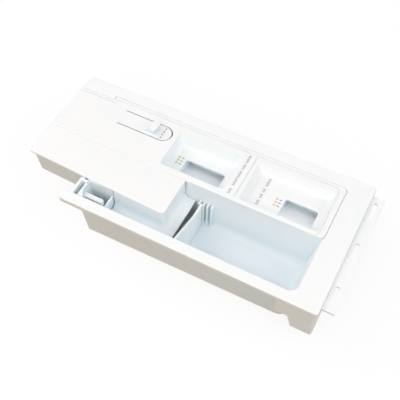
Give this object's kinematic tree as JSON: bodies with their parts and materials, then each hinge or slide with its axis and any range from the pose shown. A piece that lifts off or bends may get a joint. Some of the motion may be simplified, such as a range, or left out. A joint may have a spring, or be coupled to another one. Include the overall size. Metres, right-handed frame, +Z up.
{
  "type": "detergent dispenser drawer",
  "caption": "White moulded detergent drawer of a front-loading washing machine: open wash compartment with a lift-out separator, covered siphon cells, stop tongue, bare front flange.",
  "frame": {"origin": "middle of the drawer's box, level with the rear foot of the compartments, their lowest place", "axes": "+X towards the front flange, +Y from the wash compartment's rim to the far rim, +Z up"},
  "size_m": [0.332, 0.1502, 0.0643],
  "materials": {
    "white_moulding": "satin"
  },
  "bodies": {
    "drawer": {"drawer_tray": "white_moulding", "siphon_cover": "white_moulding", "channel_cover": "white_moulding"},
    "tongue": {"release_tongue": "white_moulding"},
    "separator": {"separator": "white_moulding"}
  },
  "joints": [
    {"name": "tongue_bend", "type": "hinge", "parent": "drawer", "child": "tongue", "pos_m": [-0.108, 0.03895, 0.05651], "axis": [0, 1, 0], "range_deg": [0, 6], "stiffness_Nm_per_rad": 2},
    {"name": "separator_lift", "type": "slide", "parent": "drawer", "child": "separator", "axis": [0, 0, 1], "range_m": [0, 0.02]}
  ]
}
